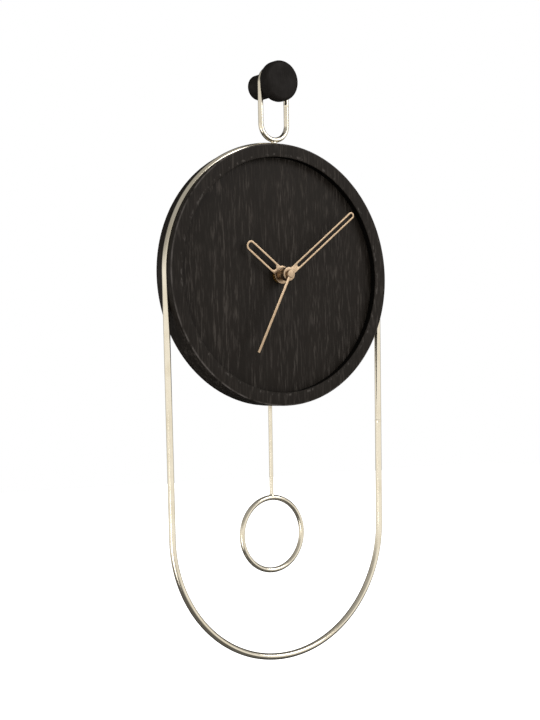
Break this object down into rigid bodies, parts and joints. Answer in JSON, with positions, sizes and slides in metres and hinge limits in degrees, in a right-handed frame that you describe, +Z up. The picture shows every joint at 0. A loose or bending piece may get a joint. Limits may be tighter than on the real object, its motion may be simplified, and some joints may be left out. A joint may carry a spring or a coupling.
{
  "type": "pendulum wall clock",
  "caption": "Round black wooden clock with copper hands in a long wire loop with a swinging ring pendulum, hung by a wire link on a black wall knob.",
  "frame": {"origin": "centre of the knob's wall face, on the knob's axis", "axes": "+Z up, -Y out of the wall towards the viewer, +X to the viewer's right"},
  "size_m": [0.2034, 0.0398, 0.4569],
  "materials": {
    "black_wood": "black stained open-pored ash veneer, matte",
    "champagne_wire": "polished champagne-gold plating",
    "copper_hand": "satin rose copper",
    "steel": "zinc-plated steel",
    "brass": "turned brass",
    "black_plastic": "moulded, fine spark texture",
    "white_plastic": "moulded natural acetal",
    "dark_magnet": "bonded magnet",
    "copper_windings": "enamelled copper wire",
    "green_board": "green solder mask",
    "cell_jacket": "plain printed film over a metal can"
  },
  "bodies": {
    "wall_knob": {"knob_peg": "black_wood", "knob_disc": "black_wood", "knob_insert": "brass"},
    "clock_case": {"hanger_link": "champagne_wire", "loop_frame": "champagne_wire", "frame_screw_top": "steel", "frame_screw_left": "steel", "frame_screw_right": "steel", "case_ring": "black_wood", "dial_panel": "black_wood", "movement_housing": "black_plastic", "movement_cover": "black_plastic", "cover_screw_1": "steel", "cover_screw_2": "steel", "cover_screw_3": "steel", "cover_screw_4": "steel", "shaft_bushing": "brass", "dial_washer": "brass", "shaft_nut": "brass", "motor_stator": "steel", "motor_coil": "copper_windings", "circuit_board": "green_board", "quartz_crystal": "steel", "battery_contact_plus": "steel", "battery_contact_minus": "steel", "pendulum_pivot_pin": "steel", "pendulum_coil": "copper_windings"},
    "seconds": {"second_hand": "copper_hand", "second_wheel": "white_plastic"},
    "rotor": {"motor_rotor": "white_plastic", "rotor_magnet": "dark_magnet"},
    "intermediate": {"intermediate_wheel": "white_plastic"},
    "third": {"third_wheel": "white_plastic"},
    "minutes": {"minute_hand": "copper_hand", "minute_wheel": "white_plastic"},
    "motion_work": {"motion_wheel": "white_plastic", "setting_knob": "white_plastic"},
    "hours": {"hour_hand": "copper_hand", "hour_wheel": "white_plastic"},
    "pendulum": {"pendulum_arm": "white_plastic", "pendulum_magnet": "dark_magnet", "pendulum_rod": "champagne_wire", "pendulum_ring": "champagne_wire"},
    "battery": {"battery_cell": "cell_jacket"}
  },
  "joints": [
    {"name": "hanger_swing", "type": "hinge", "parent": "wall_knob", "child": "clock_case", "pos_m": [0, -0.0204, 0], "axis": [0, -1, 0], "range_deg": [-6, 6]},
    {"name": "second_turn", "type": "hinge", "parent": "clock_case", "child": "seconds", "pos_m": [0, -0.025, -0.1475], "axis": [0, 1, 0], "continuous": true},
    {"name": "rotor_turn", "type": "hinge", "parent": "clock_case", "child": "rotor", "pos_m": [0.0206, -0.014, -0.15039], "axis": [0, 1, 0], "continuous": true},
    {"name": "intermediate_turn", "type": "hinge", "parent": "clock_case", "child": "intermediate", "pos_m": [0.01223, -0.012, -0.14966], "axis": [0, 1, 0], "continuous": true},
    {"name": "third_turn", "type": "hinge", "parent": "clock_case", "child": "third", "pos_m": [-0.00213, -0.012, -0.13544], "axis": [0, 1, 0], "continuous": true},
    {"name": "minute_turn", "type": "hinge", "parent": "clock_case", "child": "minutes", "pos_m": [0, -0.025, -0.1475], "axis": [0, 1, 0], "continuous": true},
    {"name": "motion_turn", "type": "hinge", "parent": "clock_case", "child": "motion_work", "pos_m": [-0.01206, -0.012, -0.15073], "axis": [0, 1, 0], "continuous": true},
    {"name": "hour_turn", "type": "hinge", "parent": "clock_case", "child": "hours", "pos_m": [0, -0.025, -0.1475], "axis": [0, 1, 0], "continuous": true},
    {"name": "pendulum_swing", "type": "hinge", "parent": "clock_case", "child": "pendulum", "pos_m": [0, -0.009, -0.186], "axis": [0, -1, 0], "range_deg": [-8, 8]},
    {"name": "battery_slide", "type": "slide", "parent": "clock_case", "child": "battery", "axis": [0, 1, 0], "range_m": [0, 0.02]}
  ],
  "couplings": [
    {"joint": "rotor_turn", "follows": "second_turn", "ratio": 30},
    {"joint": "intermediate_turn", "follows": "second_turn", "ratio": -5},
    {"joint": "third_turn", "follows": "second_turn", "ratio": -0.13333},
    {"joint": "minute_turn", "follows": "second_turn", "ratio": 0.016667},
    {"joint": "motion_turn", "follows": "second_turn", "ratio": -0.0055556},
    {"joint": "hour_turn", "follows": "second_turn", "ratio": 0.0013889}
  ]
}
